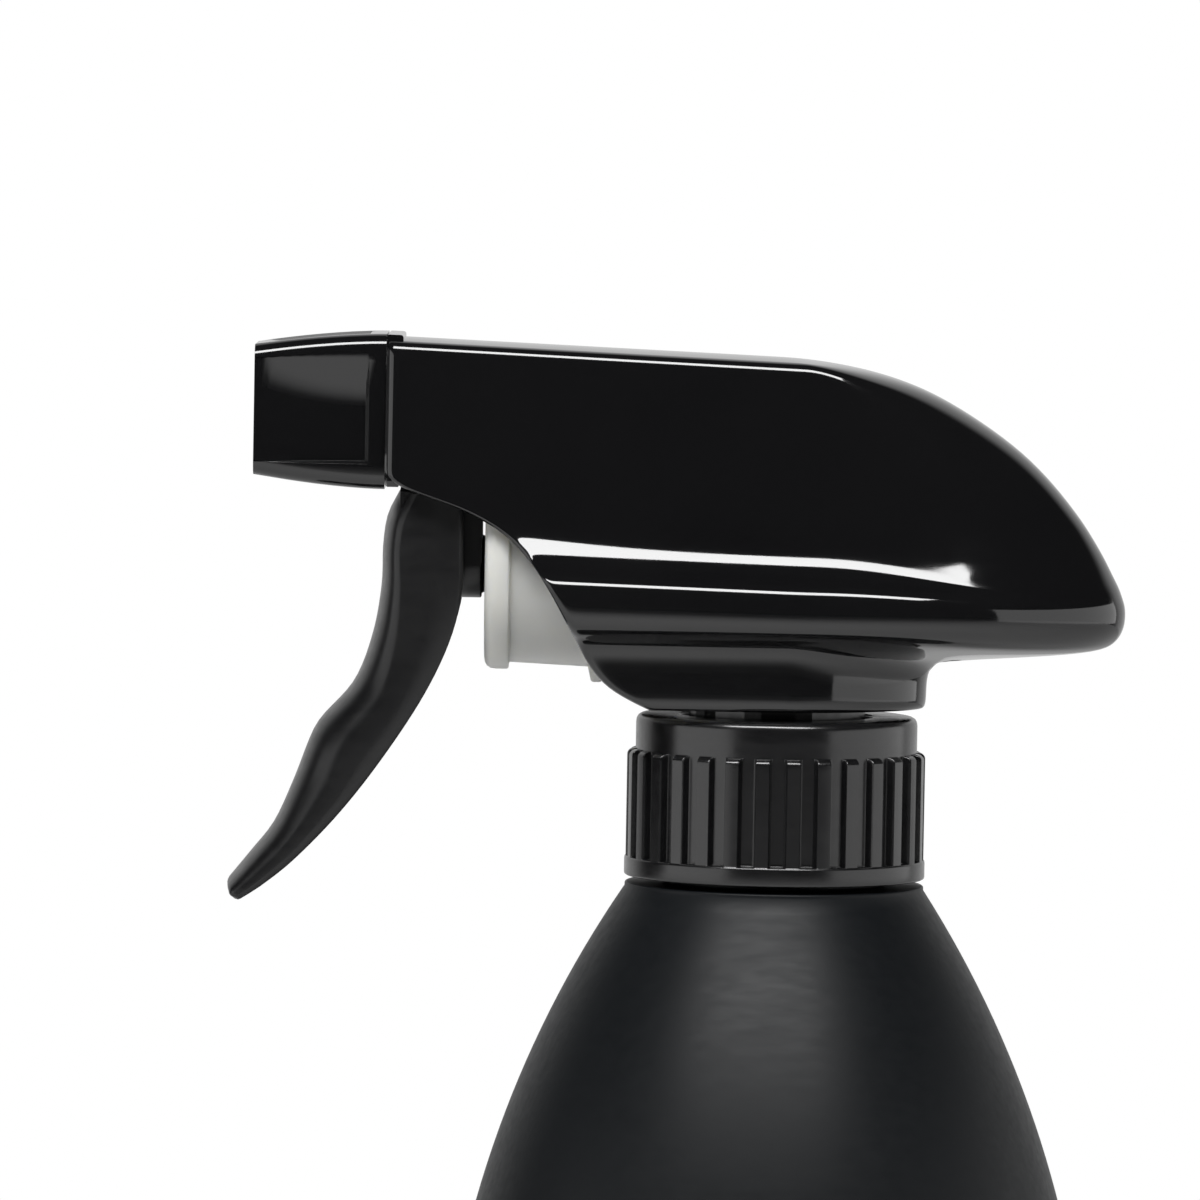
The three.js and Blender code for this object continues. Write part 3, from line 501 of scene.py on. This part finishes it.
def row_slope(index):
    """How much a row of the skin climbs towards the front."""
    if index < ROOF_ROWS:
        return ROOF_SLOPE
    if index <= FLARE_TOP:
        return lerp(ROOF_SLOPE, FLARE_SLOPE, (index - ROOF_ROWS) / (FLARE_TOP - ROOF_ROWS))
    return FLARE_SLOPE * (1 - smoothstep(FLARE_TOP + 4, UNDERSIDE, index))


def front_taper(x, index):
    """The upper body narrows a little towards the nozzle."""
    share = smoothstep(TAPER_START, TAPER_END, x) if x < TAPER_START else 0.0
    above_flare = 1 - smoothstep(FLARE_TOP - 3, FLARE_TOP + 1, index)
    return 1 - TAPER_SHARE * share * above_flare


def straight_stations(start):
    """X positions along the straight part, close together at the mouth's rolled edge."""
    near = [start + EDGE_ROUND * share for share in EDGE_STATIONS]
    far = start + EDGE_ROUND
    count = STRAIGHT_STEPS - len(near)
    return near + [lerp(far, TAIL_START, k / count) for k in range(count)]


def edge_roll(from_mouth):
    """How far the rolled edge has turned inwards."""
    share = max(0.0, 1 - from_mouth / EDGE_ROUND)
    return EDGE_ROUND * EDGE_DEPTH * (1 - math.sqrt(1 - share * share))


def tail_point(index, k, beside, behind):
    """A point of a row on its way round the tail: a blunt ellipse above the flare, the wing below it."""
    (y, z), (tail_x, tail_z) = beside, behind
    angle = math.radians(90 * (1 - k / TAIL_STEPS))
    c = math.cos(angle)
    blunt = (
        (tail_x - TAIL_START) * c,
        y * max(0.0, 1 - c ** TAIL_FULLNESS) ** (1 / TAIL_FULLNESS),
        smoothstep(0, 1, c),
    )
    round_corner = smoothstep(0.05, 0.97, c)
    turn = c ** 1.5 if index >= FLARE_END else round_corner
    reach = lerp(WING_HALF - y, TAIL_END - tail_x, turn)
    wing = (
        (TAIL_END - TAIL_START - reach) * c,
        (WING_HALF - reach) * math.sin(angle),
        c if index >= UNDERSIDE else round_corner,
    )
    share = smoothstep(FLARE_TOP - 7, FLARE_TOP, index)
    along, across, drop = (lerp(a, b, share) for a, b in zip(blunt, wing))
    return TAIL_START + along, across, lerp(z, tail_z, drop)


def skin_row(index, side, tail, roll):
    """One row of the skin: from the mouth on the +Y side, round the tail, to the mouth on the -Y side."""
    y, z = side[index]
    slope = row_slope(index)
    start = SHROUD_FRONT
    for _ in range(8):  # the row climbs to the front, so where it meets the mouth is found step by step
        start = mouth_x(z + slope * (TAIL_START - start))
    half = []
    for x in straight_stations(start):
        across = y * front_taper(x, index) - roll * edge_roll(x - start)
        half.append((x, across, z + slope * (TAIL_START - x)))
    half += [tail_point(index, k, side[index], tail[index]) for k in range(TAIL_STEPS + 1)]
    mirrored = [(px, -py, pz) for px, py, pz in reversed(half[:-1])]
    return half + mirrored


def roof_rows(side, tail, roll):
    """The roof between its two edges, in rows across it from front to back."""
    edge, height = side[0]
    crown = tail[0][1] - height
    rows = []
    steps = [math.cos(math.radians(90 * k / TAIL_STEPS)) for k in range(TAIL_STEPS)]
    steps = steps + [0.0] + [-s for s in reversed(steps)]
    for x in straight_stations(SHROUD_FRONT) + [TAIL_START]:
        half = edge * front_taper(x, 0) - roll * edge_roll(x - SHROUD_FRONT)
        rows.append([
            (x, half * s, height + crown * (1 - s * s) + ROOF_SLOPE * (TAIL_START - x)) for s in steps
        ])
    return rows


def skin(inset):
    """Rows round the side and tail, and rows across the roof. The two share the roof's rear edge."""
    side, tail = skin_rows(inset)
    roll = 0 if inset else 1
    rows = [skin_row(i, side, tail, roll) for i in range(len(side))]
    roof = roof_rows(side, tail, roll)
    middle = len(rows[0]) // 2
    for k in range(-TAIL_STEPS, TAIL_STEPS + 1):
        rows[0][middle + k] = roof[-1][TAIL_STEPS + k]
    return rows, roof


def shroud():
    """The shell: an outer and an inner skin, joined at the skirt and round the mouth."""
    outer, outer_roof = skin(0)
    inner, inner_roof = skin(WALL)
    shape = Shape()
    for rows, roof in ((outer, outer_roof), (inner, inner_roof)):
        shape.grid(rows)
        shape.grid(roof)
    shape.grid([outer[-1], inner[-1]])
    for end in (0, -1):
        shape.grid([[row[end] for row in outer], [row[end] for row in inner]])
    shape.grid([outer_roof[0], inner_roof[0]])
    return shape.piece("shroud_shell", "head", GLOSS, ["shroud"], subdivide=2)


def shroud_front():
    """The wall behind the nozzle, with the hole for the barrel, and the lip on the roof's edge."""
    hole = 5.6
    bottom, top = 44.0, 60.5
    low_half, high_half = 11.6, 8.9
    narrowing = (high_half - low_half) / (top - bottom)
    face, back = NOZZLE_HIGH.x + 0.05, -43.3
    lip_foot, lip_top, lip_rear, lip_half = 60.1, 61.1, -43.0, 8.3

    def outline_distance(c, s):
        """From the barrel's axis to the wall's outline, in the direction of a cosine and a sine."""
        reach = (low_half + narrowing * (BARREL_HEIGHT - bottom)) / max(1e-6, abs(c) - narrowing * s)
        if s > 0:
            reach = min(reach, (top - BARREL_HEIGHT) / s)
        if s < 0:
            reach = min(reach, (bottom - BARREL_HEIGHT) / s)
        return reach

    def ring(x, shrink=None):
        """The wall's outline, made smaller by shrink, or the hole if no shrink is given."""
        points = []
        for angle in even_angles(96):
            c, s = math.cos(angle), math.sin(angle)
            radius = hole if shrink is None else outline_distance(c, s) - shrink
            points.append((x, radius * c, BARREL_HEIGHT + radius * s))
        return points

    shape = Shape()
    shape.loft([ring(face), ring(face, 0.4), ring(face + 0.3, 0.0), ring(back, 0.0), ring(back)], closed=True)
    lip = rounded([
        (face, lip_foot), (face, lip_top, 0.25), (lip_rear, lip_top - 0.05, 0.35), (lip_rear, lip_foot),
    ], 0.1)
    slab(shape, lip, -lip_half, lip_half)
    return shape.piece("shroud_front_wall", "head", GLOSS, ["shroud"], sharp=40)


# ---------------------------------------------------------------- other pieces


def closure_cap():
    """The ribbed cap, with a plain rim at the foot and ribs that round off under its top edge."""
    rib_count = 30
    wall = 16.0
    rib = 16.95
    bore = 14.2
    hole = 10.9
    deck = 1.8
    rim = CAP_HIGH.y
    rib_top = 14.4
    rib_round = 0.7
    rim_top = 2.2
    height = CAP_HIGH.z - CAP_BASE
    half_rib = math.radians(3.05)
    blend = math.radians(0.55)
    sector = 2 * math.pi / rib_count

    def swell(radius, z, angle):
        if not rim_top - 0.4 < z < rib_top + 1e-6 or radius < wall - 0.2:
            return radius
        off = abs((angle + sector / 2) % sector - sector / 2)
        side = 1 - smoothstep(half_rib - blend, half_rib + blend, off)
        top = math.sqrt(max(0.0, 1 - max(0.0, (z - rib_top + rib_round) / rib_round) ** 2))
        return max(radius, wall + (rib - wall) * side * top)

    foot = rounded([
        (bore, 0.0), (rim, 0.0, 0.3), (rim, rim_top, 0.35), (wall, rim_top, 0.15), (wall, 2.6),
    ], 0.3, closed=False)
    body_heights = (3.5, 6, 9, 11.5, 13.2, 13.6, 13.8, 14.0, 14.15, 14.26, 14.34, 14.39, 14.4, 14.46, 15)
    body = [(wall, z) for z in body_heights]
    top = rounded([
        (wall, 16), (wall, height, 1.0), (hole, height, 0.3), (hole, height - deck, 0.3),
        (bore, height - deck, 0.5), (bore, 1.0),
    ], 0.3, closed=False)
    half_sector = [1, 2.2, 2.5, 2.7, 2.9, 3.1, 3.3, 3.5, 3.75, 4.6]  # degrees from a rib's middle
    offsets = [-6] + [-a for a in reversed(half_sector)] + [0] + half_sector
    angles = [math.radians(360 / rib_count * n + a) for n in range(rib_count) for a in offsets]
    shape = Shape()
    turned(shape, foot + body + top + foot[:1], angles, swell)
    return shape.piece("closure_cap_shell", "cap", SATIN, ["closure_cap"], sharp=50)


def bottle():
    """The hollow bottle: arcs outside and inside, a foot with a shallow recess, and a plain neck."""
    foot = -CAP_BASE
    foot_radius = 30
    foot_side = foot + 3.5
    floor_inside = foot + 2.2
    wall = 1.4
    widest = BOTTLE_HIGH.y
    widest_z = 81 - CAP_BASE
    shoulder_radius = 17
    shoulder_z = -0.8
    neck_radius = 12.5
    neck_bore = 10.4
    neck_top = BOTTLE_HIGH.z - CAP_BASE

    def belly(radius, z, inset, steps):
        """An arc from the widest point to a radius and height, moved inwards by inset."""
        sideways = widest - radius
        along = z - widest_z
        bend = (sideways ** 2 + along ** 2) / (2 * sideways)
        sweep = math.degrees(math.asin(along / bend))
        return arc((widest - bend, widest_z), bend - inset, 0, sweep, steps)

    lower = belly(foot_radius, foot_side, 0, 26)
    upper = belly(shoulder_radius, shoulder_z - 0.5, 0, 34)
    underside = rounded([
        (0.0, foot), (12, foot, 0.4), (13.5, foot + 0.8, 0.6), (22.5, foot + 0.8, 0.6), (24, foot, 0.4),
        (foot_radius, foot, 4.4), lower[-1],
    ], 0.4, 5, closed=False)
    neck = rounded([
        upper[-1], (shoulder_radius, shoulder_z, 0.5), (neck_radius, shoulder_z, 0.4),
        (neck_radius, neck_top, 0.4), (neck_bore, neck_top, 0.4), (neck_bore, shoulder_z - 3, 2),
    ], 0.4, 5, closed=False)
    inner_upper = list(reversed(belly(shoulder_radius, shoulder_z, wall, 20)))
    inner_lower = belly(foot_radius, foot_side, wall, 16)
    profile = underside[:-1] + list(reversed(lower)) + upper[1:-1] + neck + inner_upper[2:] + inner_lower[1:]
    profile += [(27, floor_inside + 0.1), (20, floor_inside), (0.0, floor_inside)]
    shape = Shape()
    turned(shape, profile, even_angles(128))
    return shape.piece("bottle_body", "bottle", MATTE, ["bottle"], sharp=40)


def nozzle():
    """The square nozzle cap: four faces with a sunk panel each, and a stepped bore."""
    front = NOZZLE_LOW.x
    rear = NOZZLE_HIGH.x
    rear_half = NOZZLE_HIGH.y
    front_half = 7.35
    corner = 1.7
    panel_half = 5.9
    panel_depth = 1.15
    panel_front = front + 1.4
    panel_rear = rear - 1.9
    wall_foot = panel_rear - 0.35
    stations = [
        front, front + 0.7, panel_front, -57.4, -56, -54.4, -52.6, -50.8, -49,
        wall_foot, panel_rear, rear - 0.9, rear,
    ]

    def half_at(x):
        """Half the nozzle's width and height at an x."""
        share = (x - front) / (rear - front)
        return front_half + (rear_half - front_half) * (1 - (1 - share) ** 1.7)

    def side_points(x, half):
        """Points of one face from one corner to the next, as (across, outwards)."""
        inside = panel_front < x < panel_rear
        share = min(1.0, (x - panel_front) / (wall_foot - panel_front)) if inside else 0.0
        depth = panel_depth * (1 - (1 - share) ** 2)
        slant = 2.3 * depth
        foot_low = -panel_half + 0.25 * depth
        foot_high = panel_half - slant
        flat = half - corner
        points = [
            (-flat, half), (-panel_half, half), (foot_low if inside else -panel_half + 0.1, half - depth),
        ]
        points += [(lerp(foot_low, foot_high, t), half - depth) for t in (0.33, 0.66)]
        points += [
            (foot_high if inside else panel_half - 0.1, half - depth), (panel_half, half), (flat, half),
        ]
        for a in (18, 36, 54, 72):
            turn = math.radians(a)
            points.append((flat + corner * math.sin(turn), half - corner + corner * math.cos(turn)))
        return points

    def ring(x):
        half = half_at(x)
        points = []
        for quarter in range(4):
            angle = math.pi / 2 * quarter
            for across, out in side_points(x, half):
                y = across * math.cos(angle) + out * math.sin(angle)
                z = -across * math.sin(angle) + out * math.cos(angle)
                points.append((x, y, BARREL_HEIGHT + z))
        return points

    def circle(x, radius, pattern):
        """A round ring whose points lie in the directions of an outer ring's points."""
        points = []
        for _, y, z in pattern:
            angle = math.atan2(z - BARREL_HEIGHT, y)
            points.append((x, radius * math.cos(angle), BARREL_HEIGHT + radius * math.sin(angle)))
        return points

    rings = [ring(x) for x in stations]
    first, last = rings[0], rings[-1]
    collar, collar_end = 4.9, rear - 1.6
    socket, socket_end = 5.45, -57.5
    throat, throat_end = 3.4, -59.0
    orifice, dish = 2.2, front + 0.5
    bores = [
        circle(rear, collar, last), circle(collar_end, collar, last),
        circle(collar_end, socket, last), circle(socket_end, socket, first),
        circle(socket_end, throat, first), circle(throat_end, throat, first),
        circle(throat_end, orifice, first), circle(dish, orifice, first),
        circle(dish, 3.6, first), circle(front, 3.9, first),
    ]
    shape = Shape()
    shape.loft(rings + bores, closed=True)
    return shape.piece(
        "nozzle_cap_shell", "nozzle", GLOSS, ["nozzle_cap"], bevel=0.16, sharp=30,
    )


# the lever's front and rear edges, from the top to the tip, as (x, z)
TRIGGER_FRONT = [
    (-43.2, 43.4), (-44.6, 40.5), (-45.1, 37), (-45.2, 32.5), (-46.1, 27), (-48.1, 21.6),
    (-51.7, 17.4), (-53.0, 15.1), (-54.9, 10), (-57.0, 5.3), (-59.6, 1.9), (-62.0, -1.1),
]
TRIGGER_REAR = [
    (-35.9, 42.6), (-35.9, 37), (-35.95, 32), (-37.3, 26.4), (-40.3, 20),
    (-45.0, 12.7), (-49.6, 6.7), (-54.4, 1.6), (-58.0, -1.4), (-60.4, -3.0),
]


def evenly(points, count):
    """Points spaced evenly along a smooth curve."""
    fine = [Vector(point) for point in spline(points, 24)]
    reached = [0.0]
    for a, b in zip(fine, fine[1:]):
        reached.append(reached[-1] + (b - a).length)
    result = []
    index = 0
    for k in range(count):
        goal = reached[-1] * k / (count - 1)
        while index < len(fine) - 2 and reached[index + 1] < goal:
            index += 1
        share = (goal - reached[index]) / (reached[index + 1] - reached[index])
        result.append(fine[index].lerp(fine[index + 1], share))
    return result


def lever_section(half, nose, wall, depth):
    """The lever's hollow section, as (depth from the front, y)."""

    def side(h, start, end, chamfer):
        points = [(end, h - chamfer), (end - chamfer * 1.3, h), (lerp(end, start + nose, 0.5), h)]
        points += [
            (start + nose * (1 - math.sin(math.radians(a))), h * math.cos(math.radians(a)) ** 0.8)
            for a in (0, 12, 24, 36, 48, 60, 72)
        ]
        return points + [(start, 0.0)]

    outer = side(half, 0.0, depth, 0.4)
    inner = side(half - wall, wall, depth, 0.02)
    ring = outer + [(d, -y) for d, y in reversed(outer[:-1])]
    return ring + [(d, -y) for d, y in inner] + [(d, y) for d, y in reversed(inner[:-1])]


def trigger():
    """The hollow lever, its arms, the bridge between them, and the boss and stalk that push the piston."""
    half_width = TRIGGER_HIGH.y
    count = 44
    arm_inner, arm_outer = 5.3, 7.3
    bridge_half = 8.5
    boss = 3.85
    boss_front, boss_rear = -36.6, -33.8
    tip_length = 0.7
    front = evenly(TRIGGER_FRONT, count)
    rear = evenly(TRIGGER_REAR, count)
    rings = []
    for i, (f, r) in enumerate(zip(front, rear)):
        share = i / (count - 1)
        inwards = (r - f).normalized()
        depth = (r - f).length
        half = half_width * (1 - 0.12 * share ** 3)
        nose = min(lerp(2.2, 4.2, smoothstep(0.1, 0.6, share)), 0.6 * depth)
        section = lever_section(half, nose, min(1.5, 0.3 * depth), depth)
        rings.append([(f.x + inwards.x * d, y, f.y + inwards.y * d) for d, y in section])
    tip = (front[-1] + rear[-1]) / 2
    outwards = Vector((-0.72, -0.69))
    last = rings[-1]
    for angle in (25, 50, 75):
        narrow = math.cos(math.radians(angle))
        out = tip_length * math.sin(math.radians(angle)) * outwards
        thinner = lerp(1, narrow, 0.1)
        rings.append([
            (tip.x + out.x + (x - tip.x) * narrow, y * thinner, tip.y + out.y + (z - tip.y) * narrow)
            for x, y, z in last
        ])
    shape = Shape()
    shape.loft(rings)
    arm = rounded([
        (-42.9, 41.5), (-43.2, 44.2), (-41.2, 48), (-33.5, 53.4, 3), (-28.4, 51.5, 3),
        (-30, 46.9, 2), (-35.9, 43.6), (-35.9, 41.5),
    ], 1.2, 5)
    for side in (-1, 1):
        slab(shape, arm, side * arm_inner, side * arm_outer)
    bridge = rounded([(-43, 40.5), (-43.1, 43.4), (-36.6, 43.4), (-36.6, 41.9), (-41, 41.2)], 0.4, 3)
    slab(shape, bridge, -bridge_half, bridge_half)
    block = rounded([(boss_front, 35.0), (boss_rear, 35.0), (boss_rear, 41.0), (boss_front, 41.0)], 0.5)
    slab(shape, block, -boss, boss)
    stalk = rounded([
        (0, -44), (2.6, -44), (2.6, boss_front, 0), (boss, boss_front, 0.4), (boss, boss_rear, 0.3),
        (3.3, boss_rear, 0.2), (2.7, -31.9, 1), (0, -30.9),
    ], 0.4, closed=False)
    turned_along_x(shape, stalk, CYLINDER_HEIGHT, 48)
    return shape.piece("trigger_lever", "trigger", LEVER, ["trigger"], sharp=40)


def piston():
    """The piston in one moulding: stem, flange and skirt, with a tab under the skirt."""
    front = PISTON_LOW.x
    flange = PISTON_HIGH.y
    skirt = 11.1
    wall = 1.0
    flange_rear = front + 2.8
    rear = -21.3
    axis = CYLINDER_HEIGHT
    flange_back = front + 1.1
    skirt_end = skirt + 0.4
    stem = 3.2
    head, head_front, head_rear = 7.2, -24.8, -15.8
    profile = rounded([
        (0, -31.5), (3.6, -31.5), (4.2, front + 0.4, 0.3), (4.6, front, 0.3),
        (flange, front, 1.6), (flange, flange_rear, 0.3), (skirt, flange_rear, 0.3),
        (skirt_end, rear, 0.25), (skirt_end - wall, rear, 0.25), (skirt - wall, flange_back, 0.4),
        (5.2, flange_back, 0.4), (5.2, front + 4, 0.5), (stem, front + 4.6, 0.5),
        (stem, head_front), (head, head_front), (head, head_rear), (0, head_rear),
    ], 0.2, closed=False)
    shape = Shape()
    turned_along_x(shape, profile, axis, 72)
    skirt_foot = axis - skirt - 0.4
    tab = rounded([
        (rear - 0.3, skirt_foot + 0.8), (rear - 0.3, skirt_foot + 0.1), (rear + 0.1, skirt_foot - 1.6),
        (rear + 1.3, skirt_foot - 1.6), (rear + 1.3, skirt_foot + 0.8),
    ], 0.3)
    tab_half = 2.5
    slab(shape, tab, -tab_half, tab_half)
    return shape.piece("piston_moulding", "piston", NATURAL, ["piston"], sharp=45)


def coil(name, node, wire, turns):
    """A coil spring of round wire in a CAD spring's place, with its turns closer together at both ends."""
    low, high = box_mm(node)
    radius = (high.z - low.z) / 2 - wire
    height = (low.z + high.z) / 2 - CAP_BASE
    length = high.x - low.x
    steps = round(turns * 28)
    section = [(wire * math.sin(a), radius + wire * math.cos(a)) for a in even_angles(12)]
    rings = []
    for i in range(steps + 1):
        share = i / steps
        rise = smoothstep(0.04, 0.96, share) * 0.5 + share * 0.5
        angle = 2 * math.pi * turns * share
        x = low.x + wire + (length - 2 * wire) * rise
        c, s = math.cos(angle), math.sin(angle)
        rings.append([(x + along, out * c, height + out * s) for along, out in section])
    shape = Shape()
    shape.loft(rings)
    obj = shape.piece(name, "head", STEEL, [node], sharp=50)
    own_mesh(obj)


# ---------------------------------------------------------------- studio


def studio():
    """A pale floor, and a world that is white to the camera and lights the object mostly from behind."""
    scene = bpy.context.scene
    scene.view_settings.view_transform = "Standard"
    mesh = bpy.data.meshes.new("floor")
    bm = bmesh.new()
    bmesh.ops.create_circle(bm, cap_ends=True, radius=1.5, segments=96)
    bm.to_mesh(mesh)
    bm.free()
    floor = bpy.data.objects.new("floor", mesh)
    floor.location = (0, -0.8, 0)  # mostly on the camera's side, where it isn't in view
    scene.collection.objects.link(floor)
    material, tree, shader = node_tree("pale_floor")
    pale = tinted(tree, noise(tree, 12, 3), (0.72, 0.72, 0.72), (0.8, 0.8, 0.8))
    tree.links.new(pale, shader.inputs["Base Color"])
    shader.inputs["Roughness"].default_value = 0.9
    mesh.materials.append(material)

    world = bpy.data.worlds.new("studio")
    scene.world = world
    world.use_nodes = True
    nodes, links = world.node_tree.nodes, world.node_tree.links
    background = nodes["Background"]
    backdrop = nodes.new("ShaderNodeBackground")
    backdrop.inputs["Color"].default_value = (1, 1, 1, 1)
    coordinates = nodes.new("ShaderNodeTexCoord")
    split = nodes.new("ShaderNodeSeparateXYZ")
    links.new(coordinates.outputs["Generated"], split.inputs["Vector"])
    behind = nodes.new("ShaderNodeMapRange")
    behind.interpolation_type = "SMOOTHSTEP"
    behind.inputs["From Min"].default_value = 0.45
    behind.inputs["From Max"].default_value = 0.75
    behind.inputs["To Min"].default_value = 0.02
    behind.inputs["To Max"].default_value = 0.7
    links.new(split.outputs["Y"], behind.inputs["Value"])
    links.new(behind.outputs["Result"], background.inputs["Strength"])
    background.inputs["Color"].default_value = (1, 1, 1, 1)
    path = nodes.new("ShaderNodeLightPath")
    mix = nodes.new("ShaderNodeMixShader")
    links.new(path.outputs["Is Camera Ray"], mix.inputs["Fac"])
    links.new(background.outputs["Background"], mix.inputs[1])
    links.new(backdrop.outputs["Background"], mix.inputs[2])
    links.new(mix.outputs["Shader"], nodes["World Output"].inputs["Surface"])


def softbox(name, azimuth, elevation, distance, width, height, power, aim):
    """A soft light. azimuth 0 is the camera's side, and grows towards +X."""
    a, e = math.radians(azimuth), math.radians(elevation)
    away = Vector((math.sin(a) * math.cos(e), -math.cos(a) * math.cos(e), math.sin(e)))
    data = bpy.data.lights.new(name, "AREA")
    data.shape = "RECTANGLE"
    data.size = width
    data.size_y = height
    data.energy = power
    obj = bpy.data.objects.new(name, data)
    obj.location = aim + away * distance
    obj.rotation_euler = away.to_track_quat("Z", "Y").to_euler()
    obj.visible_camera = False
    bpy.context.scene.collection.objects.link(obj)


def lights():
    aim = Vector((-0.005, 0, CAP_BASE * MM + 0.03))
    # name, azimuth, elevation, distance, width, height, power
    softbox("side_left", -67, 3, 1.0, 1.18, 0.5, 3.0, aim)
    softbox("side_right", 84, 3, 1.0, 1.74, 0.5, 4.0, aim)
    softbox("overhead_front", -8, 52, 0.9, 1.0, 0.26, 18, aim)


def camera():
    """The photograph's view: aimed at the head from 3 degrees above it, and turned by a degree."""
    view_width = 136.4 * MM
    distance = 1.2
    sensor = 36
    elevation = math.radians(3)
    roll = math.radians(1)
    target = Vector((-0.02035, 0, CAP_BASE * MM + 0.0311))
    data = bpy.data.cameras.new("camera")
    data.sensor_width = sensor
    data.lens = sensor * distance / view_width
    data.clip_end = 50
    obj = bpy.data.objects.new("camera", data)
    obj.location = target + Vector((0, -math.cos(elevation), math.sin(elevation))) * distance
    turn = Matrix.Rotation(math.pi / 2 - elevation, 4, "X") @ Matrix.Rotation(roll, 4, "Z")
    obj.rotation_euler = turn.to_euler()
    bpy.context.scene.collection.objects.link(obj)
    bpy.context.scene.camera = obj


finish_cad_nodes()
shroud()
shroud_front()
nozzle()
trigger()
closure_cap()
piston()
coil("return_spring_coil", "return_spring", 0.4, 3.5)
coil("discharge_spring_coil", "discharge_spring", 0.22, 3.5)
bottle()
studio()
lights()
camera()
bpy.context.view_layer.update()
